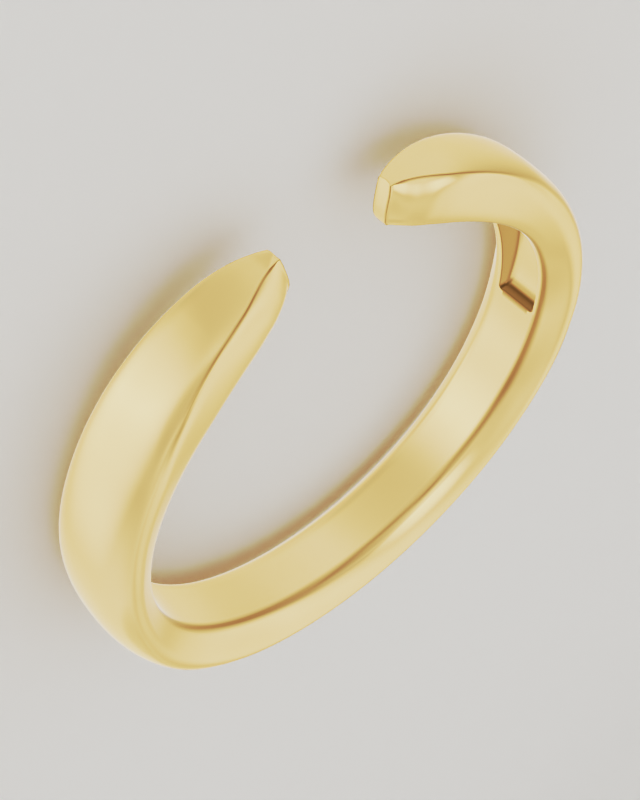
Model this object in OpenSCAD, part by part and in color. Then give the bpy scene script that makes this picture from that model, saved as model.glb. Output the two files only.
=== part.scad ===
// Open cuff ring: one cast band whose two arms taper to a gap at the front.
// +Z runs along the finger hole, the gap faces -Y, and the origin is the centre of the hole.
// The band rests on its lower side, and the upper side of each arm is shaved towards the tip.

/* [Finger hole] */
// Diameter of the hole that the finger goes through
hole_d = 17.3; // [15:0.1:21]
// Width of the flat inner face that lies on the finger
flat_w = 2.36; // [2:0.02:2.8]

/* [Band] */
// Greatest width of the band, reached at its back
band_w = 3.98; // [3.5:0.02:5]
// Thickness of the band at its back
back_t = 1.6; // [1.3:0.01:2]
// Greatest thickness of the two arms
arm_t = 1.97; // [1.7:0.01:2.5]
// Roundness of the outer face: 2 is an ellipse, and more is flatter
crown_power = 2.3; // [2:0.1:3.5]
// Rounding of the inner edges at the back
back_edge = 0.39; // [0.2:0.01:0.5]
// Rounding of the inner edges at the tips
tip_edge = 0.05; // [0.03:0.01:0.1]

/* [Tips] */
// Clear gap between the two tips, measured straight across at the finger hole
gap_w = 3.27; // [2:0.01:5]
// Length of the bevel at the end of the outer face
bevel_len = 0.43; // [0.3:0.01:0.6]
// Drop of that bevel
bevel_drop = 0.19; // [0.1:0.01:0.25]
// Height by which the inner corner of each tip clears the finger
tip_lift = 0.35; // [0.2:0.01:0.45]
// Length over which that corner is rounded up
lift_len = 0.46; // [0.35:0.01:0.7]
// Width of the narrow front edge of each tip
edge_w = 0.06; // [0.04:0.01:0.1]

/* [Hollows] */
// Width of the rim beside the hollow under each arm
rim_w = 0.27; // [0.2:0.01:0.35]
// Greatest depth of each hollow
hollow_depth = 0.95; // [0.7:0.01:1.05]
// Depth of each hollow at its back end
hollow_end_depth = 0.5; // [0.35:0.01:0.65]
// Length of each hollow, measured round the finger hole
hollow_len = 10.3; // [8:0.1:12]
// Distance from the tip to the hollow, measured round the finger hole
hollow_setback = 2.3; // [1.8:0.1:3.5]
// Distance from the front of each hollow to its deepest place
hollow_deepest = 4.8; // [4:0.1:6]
// Size of the two corners cut off at the back end of each hollow
hollow_corner = 0.2; // [0.12:0.01:0.3]

/* [Hidden] */

// One row for each section of an arm, from its tip to the middle of the back.
// WAY: place of the section, as a share of the way from the tip to the back
// LOW_FLAT, TOP_FLAT: half width of the inner flat below and above the middle, of flat_w / 2
// WIDE: half width at the shoulders, of band_w / 2
// SHAVE: half width of the outer face on the upper side, of the half width WIDE
// BULGE: outward swell of the upper side face, of band_w / 2
// SHOULDER, CROWN: heights of the shoulders and of the outer face, of the thickness there
// ARM: part of that thickness that follows arm_t, the rest following back_t
// BOW: roundness of the side faces, where 1 is flat
WAY = 0;
LOW_FLAT = 1;
TOP_FLAT = 2;
WIDE = 3;
SHAVE = 4;
BULGE = 5;
SHOULDER = 6;
CROWN = 7;
ARM = 8;
BOW = 9;
SECTIONS = [
    [0,     0.37, 0.00, 0.255, 0.00, 0.00,  0.71,  0.78,  1.00, 1.00],
    [0.006, 0.41, 0.01, 0.30,  0.01, 0.05,  0.738, 0.783, 1.00, 1.00],
    [0.013, 0.46, 0.14, 0.341, 0.05, 0.08,  0.758, 0.791, 1.00, 1.00],
    [0.024, 0.52, 0.28, 0.396, 0.30, 0.09,  0.776, 0.825, 1.00, 1.00],
    [0.04,  0.60, 0.42, 0.454, 0.54, 0.08,  0.795, 0.882, 1.00, 1.00],
    [0.055, 0.66, 0.52, 0.50,  0.71, 0.06,  0.815, 0.928, 1.00, 1.00],
    [0.07,  0.72, 0.61, 0.534, 0.80, 0.05,  0.825, 0.965, 1.00, 1.00],
    [0.09,  0.78, 0.69, 0.571, 0.87, 0.035, 0.82,  0.99,  1.00, 1.00],
    [0.125, 0.85, 0.80, 0.635, 0.93, 0.015, 0.79,  1.00,  1.00, 1.02],
    [0.17,  0.91, 0.90, 0.71,  0.98, 0.00,  0.72,  0.997, 1.00, 1.06],
    [0.23,  0.96, 0.95, 0.787, 1.00, 0.00,  0.66,  0.975, 0.80, 1.12],
    [0.30,  1.01, 0.98, 0.854, 1.00, 0.00,  0.56,  0.985, 0.72, 1.12],
    [0.385, 1.03, 0.98, 0.932, 1.00, 0.00,  0.45,  1.01,  0.65, 1.10],
    [0.48,  1.00, 0.95, 0.98,  1.00, 0.00,  0.44,  1.00,  0.45, 1.05],
    [0.585, 0.94, 0.94, 0.975, 1.00, 0.00,  0.57,  0.985, 0.20, 1.00],
    [0.735, 0.92, 0.94, 0.955, 1.00, 0.00,  0.80,  0.965, 0.05, 1.00],
    [0.823, 0.94, 0.94, 0.938, 1.00, 0.00,  0.90,  0.98,  0.02, 1.00],
    [1,     0.97, 0.95, 0.922, 1.00, 0.00,  0.97,  1.00,  0.00, 1.00],
];

// Stations along the tip and along the rest of an arm, how they crowd towards the tip, and where the tip ends
TIP_STATIONS = 9;
ARM_STATIONS = 26;
CROWDING = 1.5;
TIP_WAY = 0.1;
// Stretches of each side wall of a hollow
HOLLOW_STATIONS = 6;
// Points along each part of a section
CROWN_POINTS = 4;
SIDE_POINTS = 3;
// How far the swept band runs into the finger hole before the hole is cut
HOLE_OVERRUN = 0.08;
// Place of the middle of the inner edge's rounding, and of its end, as shares of its radius
EDGE_MIDDLE = 0.29;
EDGE_END = 0.58;
// Most of a side face that the rounding takes, and least of an inner flat that it leaves
EDGE_LIMIT = 0.45;
FLAT_LEFT = 0.3;

hole_r = hole_d / 2;
tip_angle = asin(gap_w / hole_d);
arm_sweep = 180 - tip_angle;
edge_half = edge_w / 2;
tip_r = hole_r + arm_t;
// Length of an arm round the finger hole
arm_len = arm_sweep * PI / 180 * hole_r;
// Angles of a hollow's front, deepest place and back from the middle of the gap
hollow_start = tip_angle + hollow_setback / hole_r * 180 / PI;
hollow_deep = hollow_start + hollow_deepest / hole_r * 180 / PI;
hollow_stop = hollow_start + hollow_len / hole_r * 180 / PI;
// How far the middle of the hollow's floor lies from the middle of the hole
floor_shift = (hollow_depth - hollow_end_depth) / (1 - cos(hollow_stop - hollow_deep));

function clamp01(x) = min(max(x, 0), 1);
function smooth_step(x) = let (k = clamp01(x)) k * k * (3 - 2 * k);
// Height of a quarter circle of unit radius at the distance x from its edge
function quarter_round(x) = let (k = clamp01(x)) sqrt(1 - (1 - k) * (1 - k));

// Smooth interpolation of a column of the table, which keeps flat stretches flat
function rise(c, i) = (SECTIONS[i + 1][c] - SECTIONS[i][c]) / (SECTIONS[i + 1][WAY] - SECTIONS[i][WAY]);
function slope(c, i) =
    i == 0 ? rise(c, 0)
    : i == len(SECTIONS) - 1 ? 0
    : let (before = rise(c, i - 1), after = rise(c, i))
        before * after <= 0 ? 0 : 2 * before * after / (before + after);
function row_at(t, i = 0) = (i >= len(SECTIONS) - 2 || t <= SECTIONS[i + 1][WAY]) ? i : row_at(t, i + 1);
function value(c, t) =
    let (
        i = row_at(t),
        span = SECTIONS[i + 1][WAY] - SECTIONS[i][WAY],
        x = (t - SECTIONS[i][WAY]) / span,
        x2 = x * x,
        x3 = x2 * x
    )
    SECTIONS[i][c] * (2 * x3 - 3 * x2 + 1)
        + slope(c, i) * span * (x3 - 2 * x2 + x)
        + SECTIONS[i + 1][c] * (3 * x2 - 2 * x3)
        + slope(c, i + 1) * span * (x3 - x2);

// Distance from the tip along the outer face, used where the tip is rounded and bevelled
function from_tip(t) = t * arm_sweep * PI / 180 * tip_r;
function thickness(t) = let (k = value(ARM, t)) arm_t * k + back_t * (1 - k);
function bevel(t) = bevel_drop * (1 - clamp01(from_tip(t) / bevel_len));
function height_r(c, t) = hole_r + thickness(t) * value(c, t);
function crown_r(t) = height_r(CROWN, t) - bevel(t);
function inner_r(t) = hole_r + tip_lift * pow(1 - clamp01(from_tip(t) / lift_len), 2);
function edge_r(t) = tip_edge + (back_edge - tip_edge) * t;
function shoulder_r(t) = height_r(SHOULDER, t);
function wide(t) = band_w / 2 * value(WIDE, t);
function top_flat(t) = max(edge_half, flat_w / 2 * value(TOP_FLAT, t));
function low_flat(t) = max(edge_half, flat_w / 2 * value(LOW_FLAT, t));

// Half of a section as [radius, distance from the middle], from the outer face round to the inner flat.
// The outer face is an arch that ends at the shoulder, and this half keeps it as far as the half width keep.
// The side face runs on to the half width flat, and swells by its own amount.
function half_section(t, keep, shoulder, flat, swell) =
    let (
        c = crown_r(t),
        last = acos(pow(keep / wide(t), crown_power / 2)),
        crown = [for (i = [1:CROWN_POINTS]) let (a = 90 - (90 - last) * i / CROWN_POINTS)
            [shoulder + (c - shoulder) * pow(sin(a), 2 / crown_power), wide(t) * pow(cos(a), 2 / crown_power)]],
        top = crown[CROWN_POINTS - 1],
        inner = inner_r(t),
        side_len = norm([top[0] - inner, top[1] - flat]),
        e = edge_r(t),
        stop = 1 - min(e / side_len, EDGE_LIMIT),
        side = [for (i = [1:SIDE_POINTS]) let (u = stop * i / SIDE_POINTS)
            [top[0] - (top[0] - inner) * u,
                flat + (top[1] - flat) * (1 - pow(u, value(BOW, t))) + 4 * swell * u * (1 - u)]],
        middle = [inner + EDGE_MIDDLE * e, max(flat - EDGE_MIDDLE * e, FLAT_LEFT * flat)],
        inside = [inner - HOLE_OVERRUN, max(flat - EDGE_END * e - HOLE_OVERRUN, FLAT_LEFT * flat)]
    )
    concat(crown, side, [middle, inside]);

// The upper half of a section, which is shaved towards the tip, and the lower half, which keeps its shoulder
function upper_half(t) =
    half_section(t, max(edge_half, wide(t) * value(SHAVE, t)), shoulder_r(t) - bevel(t), top_flat(t),
        band_w / 2 * value(BULGE, t));
function lower_half(t) = half_section(t, wide(t), shoulder_r(t), low_flat(t), 0);

// Distance across from the middle angle of a hollow, of the place at the distance s from its front
function across(s, middle) = hole_r * sin(hollow_start + s / hole_r * 180 / PI - middle);

// Middle of the box round a list of points
function middle(v) = [for (c = [0:2]) let (x = [for (p = v) p[c]]) (min(x) + max(x)) / 2];
function reversed(v) = [for (i = [len(v) - 1:-1:0]) v[i]];

// A whole section, whose inner side runs a little into the finger hole
function section(t) =
    let (upper = upper_half(t), lower = lower_half(t))
    concat([[crown_r(t), 0]], upper, [for (p = reversed(lower)) [p[0], -p[1]]]);

// Outline of a hollow seen from the finger hole: [distance along, half width], from its front to its back.
// Its back corners are cut off.
function hollow_edge(flat) = concat(
    [for (i = [0:HOLLOW_STATIONS]) let (k = i / HOLLOW_STATIONS, s = (hollow_len - hollow_corner) * k)
        [s, flat((hollow_setback + s) / arm_len) - rim_w]],
    [[hollow_len, flat((hollow_setback + hollow_len) / arm_len) - rim_w - hollow_corner]]
);

// A point of a section, turned to its angle from the middle of the gap
function place(p, angle) = [p[0] * sin(angle), -p[0] * cos(angle), p[1]];

// Solid through a list of closed sections that have the same number of points.
// Each end is closed round a point in the middle of its section.
module sweep(rings) {
    n = len(rings[0]);
    last = len(rings) - 1;
    start = len(rings) * n;
    end = start + 1;
    polyhedron(
        points = concat([for (ring = rings) each ring], [middle(rings[0]), middle(rings[last])]),
        faces = concat(
            [for (j = [0:n - 1]) [start, (j + 1) % n, j]],
            [for (i = [0:last - 1], j = [0:n - 1]) let (k = (j + 1) % n) [i * n + j, i * n + k, (i + 1) * n + k]],
            [for (i = [0:last - 1], j = [0:n - 1]) let (k = (j + 1) % n)
                [i * n + j, (i + 1) * n + k, (i + 1) * n + j]],
            [for (j = [0:n - 1]) [end, last * n + j, last * n + (j + 1) % n]]
        ),
        convexity = 6
    );
}

// The band before the hole and the hollows are cut, from one tip round the back to the other
module band() {
    ways = concat(
        [for (i = [0:TIP_STATIONS - 1]) TIP_WAY * pow(i / TIP_STATIONS, CROWDING)],
        [for (i = [0:ARM_STATIONS]) TIP_WAY + (1 - TIP_WAY) * i / ARM_STATIONS]
    );
    last = len(ways) - 1;
    half = [for (t = ways) section(t)];
    one_arm = [for (i = [0:last]) [for (p = half[i]) place(p, tip_angle + arm_sweep * ways[i])]];
    other_arm = [for (i = [last - 1:-1:0]) [for (p = half[i]) place(p, -tip_angle - arm_sweep * ways[i])]];
    sweep(concat(one_arm, other_arm));
}

// The hollow under the arm on the +X side (1) or the -X side (-1). Its floor is a cylinder set off from the
// hole's middle towards the deepest place, its ends are radial, and its side walls follow the rims.
module hollow(side) {
    top_edge = hollow_edge(function(t) top_flat(t));
    low_edge = hollow_edge(function(t) low_flat(t));
    middle = (hollow_start + hollow_stop) / 2;
    reach = 2 * hole_r;
    intersection() {
        rotate([0, 0, side * hollow_deep - 90])
            translate([floor_shift, 0, 0])
                cylinder(h = band_w, r = hole_r + hollow_depth - floor_shift, center = true, $fn = 180);
        linear_extrude(height = band_w, center = true)
            polygon(concat([[0, 0]], [for (a = [hollow_start, middle, hollow_stop])
                [reach * sin(side * a), -reach * cos(a)]]));
        rotate([0, 0, side * middle - 90])
            rotate([0, 90, 0])
                linear_extrude(height = reach)
                    polygon(concat(
                        [for (p = top_edge) [-p[1], side * across(p[0], middle)]],
                        [for (p = reversed(low_edge)) [p[1], side * across(p[0], middle)]]
                    ));
    }
}

module cuff_band() {
    color("#d8b765")
    difference() {
        difference() {
            band();
            rotate([0, 0, -90])
                cylinder(h = 2 * band_w, r = hole_r, center = true, $fn = 180);
        }
        hollow(1);
        hollow(-1);
    }
}

cuff_band();
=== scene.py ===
"""Open cuff ring in polished yellow gold, on a plain pale floor in soft studio light."""
import math

import bpy
import numpy as np
from mathutils import Matrix, Vector


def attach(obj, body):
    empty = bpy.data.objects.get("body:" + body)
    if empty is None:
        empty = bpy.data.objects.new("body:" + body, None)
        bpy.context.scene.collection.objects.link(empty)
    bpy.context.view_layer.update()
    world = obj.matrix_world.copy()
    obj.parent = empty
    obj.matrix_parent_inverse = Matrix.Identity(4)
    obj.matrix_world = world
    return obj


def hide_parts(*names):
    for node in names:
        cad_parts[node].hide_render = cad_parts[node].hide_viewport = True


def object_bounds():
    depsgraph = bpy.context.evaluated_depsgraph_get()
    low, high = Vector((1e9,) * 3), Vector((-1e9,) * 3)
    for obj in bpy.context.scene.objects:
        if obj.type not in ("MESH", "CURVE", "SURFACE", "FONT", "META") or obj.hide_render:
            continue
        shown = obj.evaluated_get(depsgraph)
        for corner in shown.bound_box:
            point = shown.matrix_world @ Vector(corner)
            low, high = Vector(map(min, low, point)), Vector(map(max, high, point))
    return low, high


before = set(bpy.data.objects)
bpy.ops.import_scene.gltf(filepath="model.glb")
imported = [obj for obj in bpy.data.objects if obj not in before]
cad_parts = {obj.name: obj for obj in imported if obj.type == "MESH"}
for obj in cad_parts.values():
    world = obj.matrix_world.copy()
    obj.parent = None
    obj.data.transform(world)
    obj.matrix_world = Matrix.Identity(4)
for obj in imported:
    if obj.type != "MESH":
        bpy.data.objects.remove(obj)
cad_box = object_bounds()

MM = 0.001

# Sizes of the band, in millimetres
HOLE_R = 17.3 / 2
FLAT_HALF = 2.36 / 2
BAND_HALF = 3.98 / 2
BACK_T = 1.6
ARM_T = 1.97
CROWN_POWER = 2.3
GAP = 3.27
EDGE_HALF = 0.03
TIP_EDGE, BACK_EDGE = 0.05, 0.39

# The hollow in each arm's inner face: the rim beside it, its depths, its length, how far it lies from the
# tip, and how far its deepest place lies from its front, the last three measured round the finger hole
RIM = 0.27
HOLLOW_DEPTH, HOLLOW_FRONT_DEPTH, HOLLOW_END_DEPTH = 1.08, 0.7, 0.6
HOLLOW_LEN, HOLLOW_SETBACK, HOLLOW_DEEPEST = 10.3, 2.3, 4.8
HOLLOW_CORNER = 0.24
LEAST_DEPTH = 0.3
# Its wall: the rounding at the rim, the rounding at the floor and its greatest share of the depth, and how
# far the wall leans inwards for each millimetre that it rises
WALL_LIP, WALL_FOOT, FOOT_OF_DEPTH, WALL_LEAN = 0.05, 0.3, 0.45, 0.12

# The rounded end: how far it draws back at the inner face and at the crown, and the length over which
# this dies away. NOSE_AT and NOSE_FULL are the shares of the arm's thickness where the end reaches
# furthest and where its upper part is drawn back in full.
NOSE_LOW, NOSE_TOP, NOSE_LEN = 0.28, 0.06, 1.3
NOSE_AT, NOSE_FULL = 0.34, 0.78
# Its edge along the shaved face draws back less at the crown, and a little of its own
PROW_ROUND, PROW_BACK, PROW_HOLD = 0.10, 0.02, 0.7
# Its lower edge is rounded too: where this starts across the band, over what width, and how far back
LOW_ROUND_Z, LOW_ROUND_W, LOW_ROUND_BACK = -0.3, 0.2, 0.03

# The small facet on the end, beside the shaved face: where it starts across the band, how steep it is
# across and along, and the shares of the arm's thickness where it begins and over which it deepens
FACET_Z, FACET_ACROSS, FACET_ALONG = -0.20, 0.32, 0.20
FACET_FROM, FACET_OVER = 0.45, 0.25

# The shaved face rolls off beside the crease: how far and over what width, the height above the finger hole
# where this is whole, and the shares of the arm's length where it ends and over which it dies away
ROLL_DEPTH, ROLL_W, ROLL_FOOT = 0.05, 0.36, 0.3
ROLL_END, ROLL_FADE = 0.22, 0.12
# Rounding of the crease: at the tip, how much more on the whole arm, and where and over what share it grows
CREASE_ROUND, CREASE_MORE, CREASE_FROM, CREASE_OVER = 0.05, 0.2, 0.1, 0.25
# The lower side swells only from here on, as shares of the way from the tip to the back
LOW_SWELL_FROM, LOW_SWELL_OVER = 0.3, 0.3
# Limits in a narrow section: the crease's rounding as shares of the two faces beside it, the inner edge's
# rounding as shares of its own size and of the faces beside it, and the rim's and the wall's shares
CREASE_OF_ARCH, CREASE_OF_FACE = 0.4, 0.3
EDGE_TRIM, EDGE_OF_FACE, EDGE_OF_FLAT = 0.75, 0.35, 0.5
RIM_OF_FLAT, RIM_LEAST, RIM_CLEAR, WALL_OF_RIM = 0.3, 0.2, 0.04, 0.7

TIP_ANGLE = math.degrees(math.asin(GAP / 2 / HOLE_R))
ARM_SWEEP = math.radians(180 - TIP_ANGLE)
ARM_LEN = ARM_SWEEP * HOLE_R
TIP_R = HOLE_R + ARM_T
# The hollow's floor is a cylinder whose middle is set off towards the deepest place
FLOOR_SHIFT = (HOLLOW_DEPTH - HOLLOW_END_DEPTH) / (1 - math.cos((HOLLOW_LEN - HOLLOW_DEEPEST) / HOLE_R))
FLOOR_R = HOLE_R + HOLLOW_DEPTH - FLOOR_SHIFT

# Sections of an arm, from the tip (0) to the middle of the back (1), as shares of the sizes above.
# They were read off the photograph, refined by fits to its outline, rounded, and changed here and there.
# WAY: place of the section, LOW_FLAT and TOP_FLAT: inner flats below and above the middle, WIDE: half width
# at the shoulders, SHAVE: what is left of it on the upper side, BULGE: swell of the side face, SHOULDER and
# CROWN: heights, of the thickness there, ARM: share of the arm's thickness in it, BOW: roundness of the sides
WAY, LOW_FLAT, TOP_FLAT, WIDE, SHAVE, BULGE, SHOULDER, CROWN, ARM, BOW = range(10)
SECTIONS = np.array([
    [0, 0.37, 0.00, 0.255, 0.00, 0.00, 0.71, 0.78, 1.00, 1.00],
    [0.006, 0.41, 0.08, 0.30, 0.10, 0.025, 0.738, 0.783, 1.00, 1.00],
    [0.013, 0.46, 0.17, 0.341, 0.18, 0.05, 0.758, 0.791, 1.00, 1.00],
    [0.024, 0.52, 0.28, 0.396, 0.31, 0.075, 0.776, 0.825, 1.00, 1.00],
    [0.04, 0.60, 0.42, 0.454, 0.54, 0.08, 0.795, 0.882, 1.00, 1.00],
    [0.055, 0.66, 0.52, 0.50, 0.71, 0.06, 0.815, 0.928, 1.00, 1.00],
    [0.07, 0.72, 0.61, 0.534, 0.80, 0.05, 0.825, 0.965, 1.00, 1.00],
    [0.09, 0.78, 0.69, 0.571, 0.87, 0.035, 0.82, 0.99, 1.00, 1.00],
    [0.125, 0.85, 0.80, 0.635, 0.93, 0.015, 0.79, 1.00, 1.00, 1.02],
    [0.17, 0.91, 0.90, 0.71, 0.98, 0.00, 0.72, 0.997, 1.00, 1.06],
    [0.23, 0.96, 0.95, 0.787, 1.00, 0.00, 0.66, 0.982, 0.80, 1.12],
    [0.30, 1.01, 0.98, 0.854, 1.00, 0.00, 0.56, 0.985, 0.72, 1.12],
    [0.385, 1.03, 0.98, 0.932, 1.00, 0.00, 0.47, 0.997, 0.65, 1.10],
    [0.48, 1.00, 0.95, 0.98, 1.00, 0.015, 0.44, 1.00, 0.45, 1.05],
    [0.585, 0.94, 0.94, 0.975, 1.00, 0.045, 0.57, 0.985, 0.20, 1.00],
    [0.735, 0.92, 0.94, 0.955, 1.00, 0.055, 0.80, 0.965, 0.05, 1.00],
    [0.823, 0.94, 0.94, 0.938, 1.00, 0.055, 0.90, 0.98, 0.02, 1.00],
    [1, 0.97, 0.95, 0.922, 1.00, 0.055, 0.97, 1.00, 0.00, 1.00],
])

# Numbers of points: along each stretch of half a section, across a rounded end, and along the fine curves
# that the outer face and the side face are taken from
N_CROWN, N_BEND, N_SIDE, N_EDGE, N_FLAT, N_FLOOR = 20, 5, 12, 6, 3, 6
END_POINTS = 8
FINE, FINER = 60, 80
# Where the sections lie: at the tip, inside both ends of the hollow (all in millimetres), and how many more
# there are along the hollow and behind it
TIP_STATIONS = [0, 0.02, 0.05, 0.09, 0.13, 0.18, 0.23, 0.29, 0.35, 0.41, 0.46, 0.52, 0.6, 0.7, 0.8, 0.9, 1.0,
                1.15, 1.3, 1.45, 1.6, 1.8, 2.0, 2.2, 2.4, 2.6]
AFTER_FRONT = [0.45, 0.6, 0.8, 1.0]
BEFORE_END = [0.33, 0.42, 0.55, 0.7]
MIDDLE_STATIONS, BACK_STATIONS = 62, 62
LEAST_STEP = 0.0003

# How deep the painted shade is across the crease beside the shaved face, a dark line in the gold's colour,
# and where along the arm this fades, as shares of the way from the tip to the back
CREASE_PAINTED_SHADE = np.array([0.35, 0.8, 0.6, 0.15, 0.0])
CREASE_PAINTED_SHADE_END, CREASE_PAINTED_SHADE_FADE = 0.16, 0.06
# On the arm that lies in the light the crease's painted shade is held back by this share away from the tip
SOFTER, SOFTER_FROM, SOFTER_OVER = 0.65, 0.03, 0.08
# How deep the painted shade is across the edge of the inner face, how much more it is on the arms, and
# where this fades, then the share of it at the tip, the loss towards the back, and the lower edge's share
EDGE_PAINTED_SHADE = np.array([0.0, 0.05, 0.2, 0.7, 1.0, 0.3])
EDGE_PAINTED_SHADE_MORE = np.array([0.1, 0.65, 1.05, 0.8, 0.5, 0.3])
EDGE_PAINTED_SHADE_END, EDGE_PAINTED_SHADE_FADE = 0.55, 0.3
TIP_SHARE, BACK_LOSS, LOW_SHARE = 0.95, 0.4, 0.1
# The edge of each rounded end gets a line of painted shade beside the shaved face, and hardly any elsewhere
END_SHADE_LINE_W, END_SHADE_LINE_FAINT = 0.02, 0.25
# The hollow has painted shade on its lower wall, and most of all on the wall at the end near the back:
# how deep, where that wall's middle lies before the end, and how far it reaches, in millimetres
LOW_WALL_PAINTED_SHADE, TOP_WALL_PAINTED_SHADE, END_WALL_PAINTED_SHADE = 1.0, 0.1, 1.5
END_WALL_AT, END_WALL_REACH = 0.1, 0.35
# Points of the wall's rounding at the floor that the wall's painted shade leaves out
WALL_TOP_POINTS = 4


def clamp01(x):
    return min(max(x, 0.0), 1.0)


def smooth(x):
    k = clamp01(x)
    return k * k * (3 - 2 * k)


def quarter_round(x):
    k = clamp01(x)
    return math.sqrt(1 - (1 - k) ** 2)


def value(c, t):
    """A column of the table at t, by a smooth curve that keeps flat stretches flat."""
    s = SECTIONS
    i = int(np.clip(np.searchsorted(s[:, WAY], t, "right") - 1, 0, len(s) - 2))

    def rise(k):
        return (s[k + 1, c] - s[k, c]) / (s[k + 1, WAY] - s[k, WAY])

    def slope(k):
        if k == 0:
            return rise(0)
        if k == len(s) - 1:
            return 0.0
        a, b = rise(k - 1), rise(k)
        return 0.0 if a * b <= 0 else 2 * a * b / (a + b)

    span = s[i + 1, WAY] - s[i, WAY]
    x = (t - s[i, WAY]) / span
    return (s[i, c] * (2 * x**3 - 3 * x**2 + 1) + slope(i) * span * (x**3 - 2 * x**2 + x)
            + s[i + 1, c] * (3 * x**2 - 2 * x**3) + slope(i + 1) * span * (x**3 - x**2))


def from_tip(t):
    return t * ARM_SWEEP * TIP_R


def height(c, t):
    k = value(ARM, t)
    return HOLE_R + (ARM_T * k + BACK_T * (1 - k)) * value(c, t)


def facet(points, s):
    """Points (radius, height) of a section at the distance s from the tip, cut by the small facet."""
    drop = np.clip(FACET_ACROSS * (points[:, 1] - FACET_Z) - FACET_ALONG * s, 0, None)
    upper = np.clip((points[:, 0] - HOLE_R - FACET_FROM * ARM_T) / (FACET_OVER * ARM_T), 0, 1)
    return points - np.stack([drop * upper, np.zeros(len(points))], 1)


def nose(points, s):
    """How far points of a section at the distance s from the tip are drawn back to round the end."""
    u = (points[:, 0] - HOLE_R) / ARM_T
    low = np.clip((NOSE_AT - u) / NOSE_AT, 0, 1)
    high = np.clip((u - NOSE_AT) / (NOSE_FULL - NOSE_AT), 0, 1)
    prow = np.clip(1 + (points[:, 1] - EDGE_HALF) / PROW_ROUND, 0, 1)
    under = np.clip((LOW_ROUND_Z - points[:, 1]) / LOW_ROUND_W, 0, 1)
    back = (NOSE_LOW * (1 - np.sqrt(1 - low**2)) + NOSE_TOP * high**2 * (1 - PROW_HOLD * prow)
            + PROW_BACK * prow**2 + LOW_ROUND_BACK * under**2)
    return back * (1 - smooth(s / NOSE_LEN))


def round_corner(a, corner, b, n):
    """Points of a rounded corner, from a to b."""
    s = np.linspace(0, 1, n)[:, None]
    return (1 - s) ** 2 * a + 2 * s * (1 - s) * corner + s**2 * b


def steps(line):
    return np.linalg.norm(np.diff(line, axis=0), axis=1)


def along(line, start, n, spare=0.0):
    """n points along a polyline, from a distance along it to its end or short of that by the spare."""
    run = np.concatenate([[0], np.cumsum(steps(line))])
    want = np.linspace(start, run[-1] - spare, n)
    return np.stack([np.interp(want, run, line[:, k]) for k in (0, 1)], 1)


def wall_profile(depth):
    """Offsets from the rim's edge, and heights there, of the hollow's wall with its two rounded corners."""
    foot = min(WALL_FOOT, FOOT_OF_DEPTH * depth)
    rows = [(WALL_LIP * math.sin(a), WALL_LIP * (1 - math.cos(a))) for a in np.radians([0, 30, 60, 82])]
    start, top = rows[-1], depth - foot
    for k in (0.35, 0.7, 1.0):
        rise = (top - start[1]) * k
        rows.append((start[0] + WALL_LEAN * rise, start[1] + rise))
    edge = rows[-1]
    for a in np.radians([20, 35, 50, 65, 78, 90]):
        rows.append((edge[0] + foot * (1 - math.cos(a)), edge[1] + foot * math.sin(a)))
    return np.array(rows)


def end_share(x, depth):
    """Share of the depth that the hollow has at the distance x from one of its ends."""
    profile = wall_profile(depth)
    return float(np.interp(x, profile[:, 0], profile[:, 1] / depth, left=0.0, right=1.0))


def corner_cut(x):
    return HOLLOW_CORNER * (1 - quarter_round(max(x, 0.0) / HOLLOW_CORNER))


def hollow_at(t):
    """Depth of the hollow at t, the share of it that the end walls leave, and how far its corners come in."""
    far = t * ARM_LEN - HOLLOW_SETBACK
    to_end = HOLLOW_LEN - far
    off = (far - HOLLOW_DEEPEST) / HOLE_R
    depth = FLOOR_SHIFT * math.cos(off) + math.sqrt(FLOOR_R**2 - (FLOOR_SHIFT * math.sin(off)) ** 2) - HOLE_R
    share = end_share(to_end, HOLLOW_END_DEPTH) * end_share(far, HOLLOW_FRONT_DEPTH)
    return max(depth, LEAST_DEPTH), share, max(corner_cut(to_end), corner_cut(far))


def outer_arch(t, wide, keep):
    """The outer face from its middle to its edge, where the half height keep is left of the half width."""
    last = math.acos(min(1.0, (keep / wide) ** (CROWN_POWER / 2)))
    a = np.linspace(math.pi / 2, last, FINE)
    shoulder, crown = height(SHOULDER, t), height(CROWN, t)
    return np.stack([shoulder + (crown - shoulder) * np.sin(a) ** (2 / CROWN_POWER),
                     wide * np.abs(np.cos(a)) ** (2 / CROWN_POWER)], 1)


def side_face(t, top, flat, low):
    """The side face from the outer face's edge to the inner face's edge."""
    swell = BAND_HALF * value(BULGE, t)
    if low:
        swell *= smooth((t - LOW_SWELL_FROM) / LOW_SWELL_OVER)
    u = np.linspace(0, 1, FINE)
    face = np.stack([top[0] - (top[0] - HOLE_R) * u,
                     flat + (top[1] - flat) * (1 - u ** value(BOW, t)) + 4 * swell * u * (1 - u)], 1)
    if not low:
        roll = ROLL_DEPTH * (1 - smooth((t - ROLL_END) / ROLL_FADE))
        gone = np.clip(np.linalg.norm(face - top, axis=1) / ROLL_W, 0, 1)
        face[:, 1] += roll * (1 - (1 - gone) ** 2) * np.clip((face[:, 0] - HOLE_R) / ROLL_FOOT, 0, 1)
    return face


def inner_face(t, flat, edge):
    """The flat rim, the hollow's wall and its floor, from the rounded edge to the middle of the band."""
    depth, share, shrink = hollow_at(t)
    rim_z = max(flat - RIM, RIM_OF_FLAT * flat) - shrink
    rim_z = max(min(rim_z, flat - edge - RIM_CLEAR), RIM_LEAST * flat)
    level = np.stack([np.full(N_FLAT, HOLE_R), np.linspace(flat - edge, rim_z, N_FLAT + 1)[1:]], 1)
    shape = wall_profile(depth)
    scale = min(1.0, WALL_OF_RIM * rim_z / shape[-1, 0])
    wall = np.stack([HOLE_R + shape[:, 1] / shape[-1, 1] * depth * share, rim_z - scale * shape[:, 0]], 1)[1:]
    floor = np.stack([np.full(N_FLOOR, wall[-1, 0]), np.linspace(wall[-1, 1], 0, N_FLOOR + 1)[1:]], 1)
    return level, wall, floor, share > 0


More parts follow.
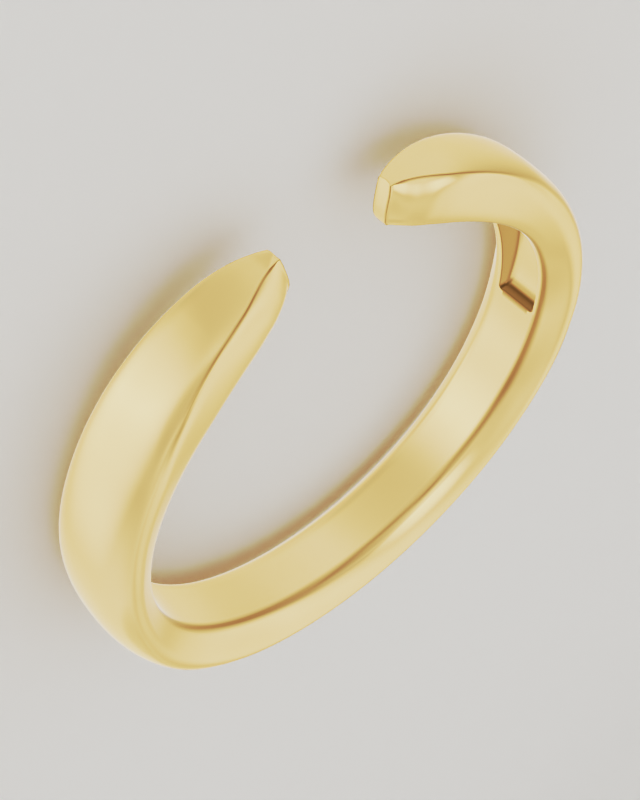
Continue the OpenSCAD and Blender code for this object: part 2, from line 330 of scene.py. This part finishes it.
def half_section(t, low):
    """Half of a section as (radius, height) points, from the middle of the outer face round to the middle
    of the inner face, and how deep the painted shade is at each point."""
    wide = BAND_HALF * value(WIDE, t)
    keep = wide if low else max(EDGE_HALF, wide * value(SHAVE, t))
    flat = max(EDGE_HALF, FLAT_HALF * value(LOW_FLAT if low else TOP_FLAT, t))
    arch = outer_arch(t, wide, keep)
    top = arch[-1]
    face = side_face(t, top, flat, low)
    face_len = steps(face).sum()
    crease = CREASE_ROUND + CREASE_MORE * smooth((t - CREASE_FROM) / CREASE_OVER)
    crease = min(crease, CREASE_OF_ARCH * steps(arch).sum(), CREASE_OF_FACE * face_len)
    edge = EDGE_TRIM * (TIP_EDGE + (BACK_EDGE - TIP_EDGE) * t)
    edge = min(edge, EDGE_OF_FACE * face_len, EDGE_OF_FLAT * flat)

    arch = along(arch[::-1], crease, N_CROWN)[::-1]
    side = along(along(face, crease, FINER), 0, N_SIDE, edge)
    bend = round_corner(arch[-1], top, side[0], N_BEND)[1:-1]
    turn = round_corner(side[-1], np.array([HOLE_R, flat]), np.array([HOLE_R, flat - edge]), N_EDGE)[1:]
    level, wall, floor, hollow = inner_face(t, flat, edge)
    points = np.concatenate([arch, bend, side, turn, level, wall, floor])

    # Painted shade at each point: dark lines along the crease and the inner edge, and shade in the hollow
    tone = np.zeros(len(points))
    k = len(arch)
    tone[k - 1:k + len(bend) + 1] = (1 - smooth((t - CREASE_PAINTED_SHADE_END) / CREASE_PAINTED_SHADE_FADE)) * CREASE_PAINTED_SHADE
    k += len(bend) + len(side)
    front = 1 - smooth((t - EDGE_PAINTED_SHADE_END) / EDGE_PAINTED_SHADE_FADE)
    share = LOW_SHARE if low else TIP_SHARE - BACK_LOSS * t
    tone[k - 1:k + len(turn)] = share * (EDGE_PAINTED_SHADE + EDGE_PAINTED_SHADE_MORE * front)
    k += len(turn) + len(level)
    # Painted shade on the hollow's walls, deepest on the end wall near the back
    if hollow:
        to_end = HOLLOW_LEN - (t * ARM_LEN - HOLLOW_SETBACK)
        tone[k:k + len(wall) - WALL_TOP_POINTS] = LOW_WALL_PAINTED_SHADE if low else TOP_WALL_PAINTED_SHADE
        near_end = clamp01(1 - abs(to_end - END_WALL_AT) / END_WALL_REACH)
        tone[k:] = np.maximum(tone[k:], END_WALL_PAINTED_SHADE * near_end)
    return points, tone


def section(t):
    """A whole section, and how deep the painted shade is at each point."""
    upper, upper_shade = half_section(t, False)
    lower, lower_shade = half_section(t, True)
    lower = lower * np.array([1, -1])
    return np.concatenate([upper, lower[::-1][1:-1]]), np.concatenate([upper_shade, lower_shade[::-1][1:-1]])


def stations():
    """Places of the sections: closer together at the tip and at both ends of the hollow."""
    tip = np.array(TIP_STATIONS) / (ARM_SWEEP * TIP_R)
    start, stop = HOLLOW_SETBACK / ARM_LEN, (HOLLOW_SETBACK + HOLLOW_LEN) / ARM_LEN
    front = start + np.concatenate([wall_profile(HOLLOW_FRONT_DEPTH)[:, 0], AFTER_FRONT]) / ARM_LEN
    end = stop - np.concatenate([wall_profile(HOLLOW_END_DEPTH)[:, 0], BEFORE_END]) / ARM_LEN
    middle = np.linspace(front[-1], end.min(), MIDDLE_STATIONS)
    back = np.linspace(stop, 1, BACK_STATIONS)
    every = np.unique(np.round(np.concatenate([tip, front, end, middle, back]), 6))
    ways = [every[0]]
    for t in every[1:]:
        if t - ways[-1] > LEAST_STEP:
            ways.append(t)
    ways[-1] = 1.0
    return ways


def place(points, t, s, mirror=1):
    """Points of a section in space, with the end rounded at the distance s from the tip."""
    angle = math.radians(TIP_ANGLE) + ARM_SWEEP * t + nose(points, s) / TIP_R
    return np.stack([mirror * points[:, 0] * np.sin(angle), -points[:, 0] * np.cos(angle), points[:, 1]], 1)


def rounded_end(base, n, count, mirror):
    """Points and faces that close an end whose ring of n points starts at base, in rows from its upper edge
    to its lower one. The new points are numbered from count on."""
    ring = facet(section(0)[0], 0)
    share = np.linspace(0, 1, END_POINTS + 1)[1:-1, None]
    verts = []
    rows = [[base] * (END_POINTS + 1)]
    for j in range(1, n // 2):
        inside = ring[j] * (1 - share) + ring[n - j] * share
        verts.append(place(inside, 0, 0, mirror))
        rows.append([base + j] + list(range(count, count + len(inside))) + [base + n - j])
        count += len(inside)
    rows.append([base + n // 2] * (END_POINTS + 1))
    faces = []
    for upper, lower in zip(rows, rows[1:]):
        for k in range(END_POINTS):
            quad = [upper[k], lower[k], lower[k + 1], upper[k + 1]]
            quad = [q for i, q in enumerate(quad) if q not in quad[:i]]
            if len(quad) > 2:
                faces.append(tuple(quad if mirror > 0 else quad[::-1]))
    return verts, faces, count


def band_mesh():
    """The whole band: one arm's sections, their mirror images, and a rounded end on each arm."""
    loops, tones, soft_painted_shades = [], [], []
    for t in stations():
        ring, tone = section(t)
        s = from_tip(t)
        loops.append(place(facet(ring, s), t, s))
        # A line of painted shade along the edge of each rounded end
        end_shade_line = np.full(len(tone), END_SHADE_LINE_FAINT)
        end_shade_line[N_CROWN - 1:N_CROWN + N_BEND + N_SIDE] = 1.0
        tones.append(np.maximum(tone, end_shade_line * math.exp(-(s / END_SHADE_LINE_W) ** 2)))
        # The mirrored arm lies in the light, so its crease gets less painted shade
        soft = tones[-1].copy()
        soft[N_CROWN - 1:N_CROWN + N_BEND - 1] *= 1 - SOFTER * smooth((t - SOFTER_FROM) / SOFTER_OVER)
        soft_painted_shades.append(soft)
    verts = loops + [loop * np.array([-1, 1, 1]) for loop in loops[-2::-1]]
    tones += soft_painted_shades[-2::-1]
    n = len(loops[0])
    faces = []
    for i in range(len(verts) - 1):
        for j in range(n):
            k = (j + 1) % n
            faces.append((i * n + j, (i + 1) * n + j, (i + 1) * n + k, i * n + k))

    last = (len(verts) - 1) * n
    count = len(verts) * n
    for base, mirror in ((0, 1), (last, -1)):
        end_verts, end_faces, count = rounded_end(base, n, count, mirror)
        verts += end_verts
        faces += end_faces
        tones += [np.zeros(len(v)) for v in end_verts]

    mesh = bpy.data.meshes.new("band")
    mesh.from_pydata((np.concatenate(verts) * MM).tolist(), [], faces)
    mesh.validate()
    mesh.update()
    # The painted shade reaches the gold's colour through this point attribute
    tone = mesh.attributes.new("crease", "FLOAT", "POINT")
    tone.data.foreach_set("value", np.concatenate(tones).astype(np.float32))
    for p in mesh.polygons:
        p.use_smooth = True
    return mesh


# The gold: its two drifting tones, the painted shade along the creases and how much of it shows at most, the
# tint of its glancing reflections, and its roughness. The scales are counts per metre.
GOLD_DARKER, GOLD_LIGHTER = (0.93, 0.705, 0.45, 1), (0.97, 0.745, 0.485, 1)
PAINTED_SHADE_GOLD, PAINTED_SHADE_SHARE = (0.32, 0.22, 0.12, 1), 0.6
GLANCING_TINT = (1.0, 0.92, 0.80, 1)
SMOOTHEST, ROUGHEST = 0.10, 0.16
DRIFT_SCALE, MARKS_SCALE = 160.0, 2200.0


def gold():
    """Polished yellow gold: a slow drift of tone, fine polishing marks, and painted shade in creases and
    hollows.
    """
    mat = bpy.data.materials.new("polished_gold")
    mat.use_nodes = True
    tree = mat.node_tree
    nodes, links = tree.nodes, tree.links
    shader = nodes["Principled BSDF"]
    shader.inputs["Metallic"].default_value = 1.0
    shader.inputs["Specular Tint"].default_value = GLANCING_TINT
    where = nodes.new("ShaderNodeTexCoord")

    drift = nodes.new("ShaderNodeTexNoise")
    drift.inputs["Scale"].default_value = DRIFT_SCALE
    drift.inputs["Detail"].default_value = 2.0
    links.new(where.outputs["Object"], drift.inputs["Vector"])
    tone = nodes.new("ShaderNodeValToRGB")
    darker, lighter = tone.color_ramp.elements
    darker.position, lighter.position = 0.3, 0.7
    darker.color, lighter.color = GOLD_DARKER, GOLD_LIGHTER
    links.new(drift.outputs["Fac"], tone.inputs["Fac"])

    # Painted shade from the band's attribute mixes the gold towards a deep brown
    crease = nodes.new("ShaderNodeAttribute")
    crease.attribute_name = "crease"
    share = nodes.new("ShaderNodeMath")
    share.operation = "MULTIPLY"
    share.inputs[1].default_value = PAINTED_SHADE_SHARE
    links.new(crease.outputs["Fac"], share.inputs[0])
    painted_shade_mix = nodes.new("ShaderNodeMix")
    painted_shade_mix.data_type = "RGBA"
    painted_shade_mix.inputs["B"].default_value = PAINTED_SHADE_GOLD
    links.new(share.outputs["Value"], painted_shade_mix.inputs["Factor"])
    links.new(tone.outputs["Color"], painted_shade_mix.inputs["A"])
    links.new(painted_shade_mix.outputs["Result"], shader.inputs["Base Color"])

    marks = nodes.new("ShaderNodeTexNoise")
    marks.inputs["Scale"].default_value = MARKS_SCALE
    marks.inputs["Detail"].default_value = 3.0
    links.new(where.outputs["Object"], marks.inputs["Vector"])
    rough = nodes.new("ShaderNodeMapRange")
    rough.inputs["To Min"].default_value = SMOOTHEST
    rough.inputs["To Max"].default_value = ROUGHEST
    links.new(marks.outputs["Fac"], rough.inputs["Value"])
    links.new(rough.outputs["Result"], shader.inputs["Roughness"])
    return mat


def add_band():
    band = bpy.data.objects.new("gold_band", band_mesh())
    bpy.context.collection.objects.link(band)
    band.data.materials.append(gold())
    weighted = band.modifiers.new("even_normals", "WEIGHTED_NORMAL")
    weighted.weight = 60
    # The gold shows only the studio round it, not itself
    band.visible_glossy = False
    return band


band = add_band()
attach(band, "root")
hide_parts("cuff_band")

# The camera, fitted to the photograph: its picture's right, the way back from the ring to it, and its place,
# in radii of the finger hole
CAMERA_RIGHT = Vector((-0.760707, 0.031326, 0.648339))
CAMERA_BACK = Vector((0.337709, -0.833902, 0.436531))
CAMERA_PLACE = Vector((1.464932, -3.620184, 1.762421))
CAMERA_LENS, CAMERA_SENSOR = 48.636, 36.0


def add_camera():
    data = bpy.data.cameras.new("camera")
    data.lens = CAMERA_LENS
    data.sensor_width = CAMERA_SENSOR
    data.clip_start = 0.001
    data.clip_end = 20.0
    camera = bpy.data.objects.new("camera", data)
    bpy.context.collection.objects.link(camera)
    back = CAMERA_BACK.normalized()
    up = back.cross(CAMERA_RIGHT.normalized()).normalized()
    pose = Matrix((up.cross(back), up, back)).transposed().to_4x4()
    pose.translation = CAMERA_PLACE * HOLE_R * MM
    camera.matrix_world = pose
    return camera


bpy.context.scene.camera = add_camera()

# The floor, in metres: a flat disc that curves up into a backdrop all round, far away from the ring
FLOOR_Z = cad_box[0].z
FLAT_R, BEND_R, BACKDROP_TOP = 0.25, 0.25, 0.45
FLOOR_TURNS, BEND_POINTS = 96, 13
FLOOR_TONE, FLOOR_ROUGHNESS = (0.93, 0.925, 0.915, 1), 0.7


def floor_mesh():
    profile = [(FLAT_R + BEND_R * math.sin(a), BEND_R * (1 - math.cos(a)))
               for a in np.linspace(0, math.pi / 2, BEND_POINTS)]
    profile.append((FLAT_R + BEND_R, BACKDROP_TOP))
    turns = np.arange(FLOOR_TURNS) * 2 * math.pi / FLOOR_TURNS
    verts = [(0, 0, FLOOR_Z)]
    for r, h in profile:
        verts += [(r * math.cos(a), r * math.sin(a), FLOOR_Z + h) for a in turns]
    faces = []
    for j in range(FLOOR_TURNS):
        k = (j + 1) % FLOOR_TURNS
        faces.append((0, 1 + j, 1 + k))
        for i in range(len(profile) - 1):
            low, high = 1 + i * FLOOR_TURNS, 1 + (i + 1) * FLOOR_TURNS
            faces.append((low + j, high + j, high + k, low + k))
    mesh = bpy.data.meshes.new("floor")
    mesh.from_pydata(verts, [], faces)
    for p in mesh.polygons:
        p.use_smooth = True
    return mesh


def floor_material():
    mat = bpy.data.materials.new("pale_floor")
    mat.use_nodes = True
    shader = mat.node_tree.nodes["Principled BSDF"]
    shader.inputs["Base Color"].default_value = FLOOR_TONE
    shader.inputs["Roughness"].default_value = FLOOR_ROUGHNESS
    return mat


floor = bpy.data.objects.new("floor", floor_mesh())
bpy.context.collection.objects.link(floor)
floor.data.materials.append(floor_material())
floor.visible_glossy = False

# Soft studio light all round the ring: an even white, brighter or dimmer in soft patches. Each has its
# azimuth (0 is +Y, 90 is +X), elevation and half width in degrees, and how much brighter it is.
# The numbers come from a fit to the photograph's brightness and are rounded.
EVEN, LIGHT_TONE = 1.28, (1.0, 0.985, 0.96, 1)
PATCHES = [
    (-55, 40, 46, 0.65),
    (100, -35, 50, 0.40),
    (160, -40, 45, -0.25),
    (55, 5, 70, -0.40),
    (-25, 25, 45, -0.20),
    (-90, 40, 75, -0.50),
    (20, 15, 20, -0.20),
    (40, 0, 55, 0.40),
    (0, -90, 40, -0.15),
    (130, 30, 35, -0.30),
    (-175, 30, 45, -0.40),
    (-170, 50, 40, 0.25),
    (0, 90, 18, 0.60),
    (80, 70, 20, -0.15),
]


def studio_world():
    world = bpy.data.worlds.new("studio")
    world.use_nodes = True
    tree = world.node_tree
    nodes, links = tree.nodes, tree.links
    sky = nodes["Background"]
    sky.inputs["Color"].default_value = LIGHT_TONE
    where = nodes.new("ShaderNodeTexCoord")
    total = None
    for azimuth, elevation, spread, amount in PATCHES:
        a, e = math.radians(azimuth), math.radians(elevation)
        towards = nodes.new("ShaderNodeVectorMath")
        towards.operation = "DOT_PRODUCT"
        towards.inputs[1].default_value = (math.sin(a) * math.cos(e), math.cos(a) * math.cos(e), math.sin(e))
        links.new(where.outputs["Generated"], towards.inputs[0])
        patch = nodes.new("ShaderNodeMapRange")
        patch.interpolation_type = "SMOOTHSTEP"
        patch.inputs["From Min"].default_value = math.cos(math.radians(spread))
        patch.inputs["From Max"].default_value = 1.0
        patch.inputs["To Min"].default_value = 0.0
        patch.inputs["To Max"].default_value = amount
        links.new(towards.outputs["Value"], patch.inputs["Value"])
        add = nodes.new("ShaderNodeMath")
        add.operation = "ADD"
        links.new(patch.outputs["Result"], add.inputs[0])
        if total is None:
            add.inputs[1].default_value = EVEN
        else:
            links.new(total.outputs["Value"], add.inputs[1])
        total = add
    links.new(total.outputs["Value"], sky.inputs["Strength"])
    return world


bpy.context.scene.world = studio_world()

# The picture's tone: deep tones fall off quickly and bright tones are held back
WHITE_LEVEL = 2.0
TONE_POINTS = [(0.1, 0.03), (0.22, 0.18), (0.33, 0.45), (0.5, 0.664), (0.67, 0.765)]
TONE_END = (1.0, 0.84)


def set_tone():
    view = bpy.context.scene.view_settings
    view.view_transform = "Standard"
    view.use_curve_mapping = True
    curves = view.curve_mapping
    curves.white_level = (WHITE_LEVEL, WHITE_LEVEL, WHITE_LEVEL)
    combined = curves.curves[3]
    for x, y in TONE_POINTS:
        combined.points.new(x, y)
    combined.points[-1].location = TONE_END
    curves.update()


set_tone()
